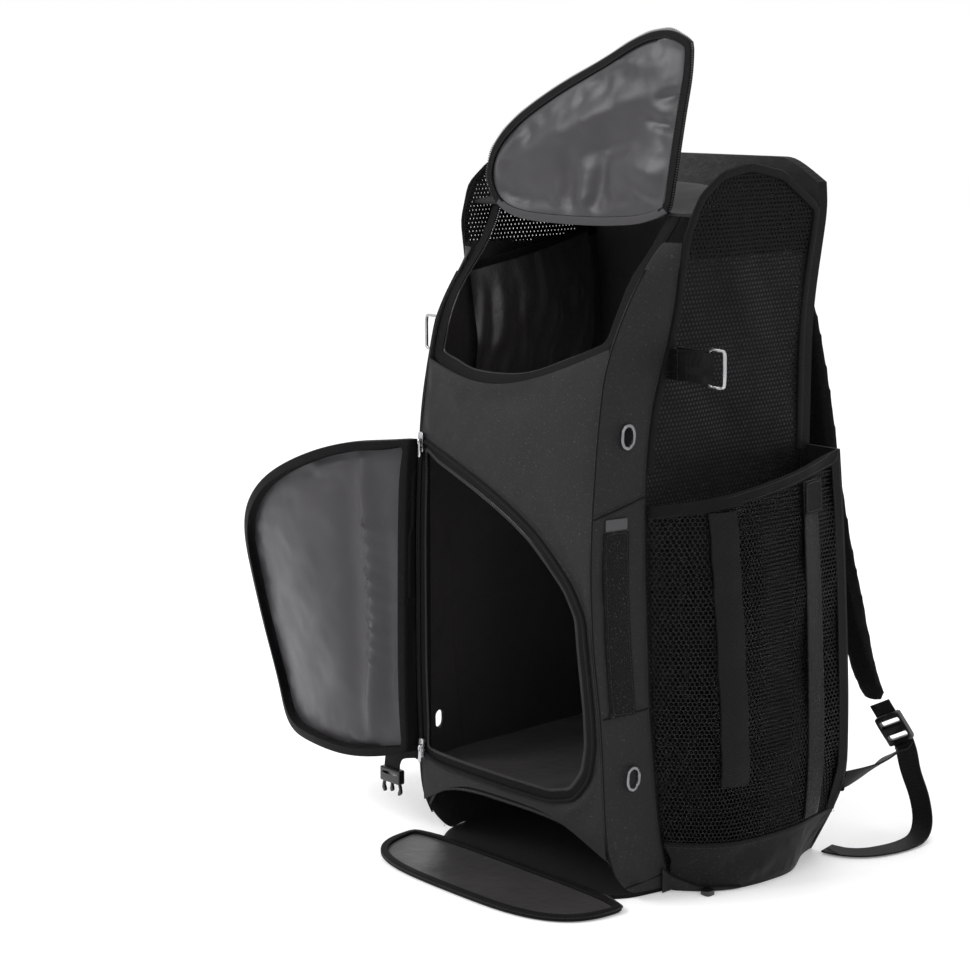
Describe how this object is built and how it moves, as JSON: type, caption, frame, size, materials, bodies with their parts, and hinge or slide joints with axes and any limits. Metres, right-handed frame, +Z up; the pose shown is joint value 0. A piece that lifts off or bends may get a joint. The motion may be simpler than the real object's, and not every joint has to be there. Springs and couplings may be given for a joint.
{
  "type": "baseball bat backpack",
  "caption": "Black and charcoal baseball bat backpack standing open, with top flap raised, front door swung aside, shoe door down and mesh bat sleeves.",
  "frame": {"origin": "centre of the base, on the floor", "axes": "+Z up; +Y towards the wearer's back; +X to the right seen from the front"},
  "size_m": [0.6543, 0.5123, 0.8811],
  "materials": {
    "shell": "woven polyester, matt, charcoal",
    "boot": "coated fabric, matt",
    "lining": "satin lining",
    "mesh": "open mesh, matt",
    "binding": "woven tape",
    "webbing": "woven webbing",
    "metal": "satin",
    "plastic": "satin"
  },
  "bodies": {
    "root": {"front_panel": "shell", "door_tape": "binding", "back_panel": "shell", "top_yoke": "shell", "base_panel": "boot", "shoe_shelf": "lining", "rim_tape": "binding", "top_flap": "lining", "flap_binding": "binding", "front_door": "lining", "door_binding": "binding", "shoe_door": "shell", "shoe_door_binding": "binding", "shoe_tape": "binding", "zip_slider_upper": "metal", "zip_slider_lower": "metal", "side_buckle": "plastic", "buckle_webbing": "webbing", "tag_right": "shell", "sleeve_foot_right": "plastic", "gusset_right": "shell", "side_wall_right": "mesh", "sleeve_mesh_right": "mesh", "sleeve_hem_right": "binding", "sleeve_boot_right": "boot", "sleeve_back_right": "boot", "sleeve_webbing_right": "webbing", "rear_band_right": "webbing", "hook_tab_right": "binding", "grip_strip_right": "binding", "eyelet_upper_right": "metal", "eyelet_lower_right": "metal", "retainer_strap_right": "webbing", "retainer_loop_right": "metal", "shoulder_pad_right": "shell", "pad_tail_right": "webbing", "lower_strap_right": "webbing", "strap_tail_right": "webbing", "ladder_lock_right": "plastic", "strap_anchor_right": "webbing", "gusset_left": "shell", "side_wall_left": "mesh", "sleeve_mesh_left": "mesh", "sleeve_hem_left": "binding", "sleeve_boot_left": "boot", "sleeve_back_left": "boot", "sleeve_webbing_left": "webbing", "rear_band_left": "webbing", "hook_tab_left": "binding", "grip_strip_left": "binding", "eyelet_upper_left": "metal", "eyelet_lower_left": "metal", "retainer_strap_left": "webbing", "retainer_loop_left": "metal", "shoulder_pad_left": "shell", "pad_tail_left": "webbing", "lower_strap_left": "webbing", "strap_tail_left": "webbing", "ladder_lock_left": "plastic", "strap_anchor_left": "webbing"}
  },
  "joints": []
}
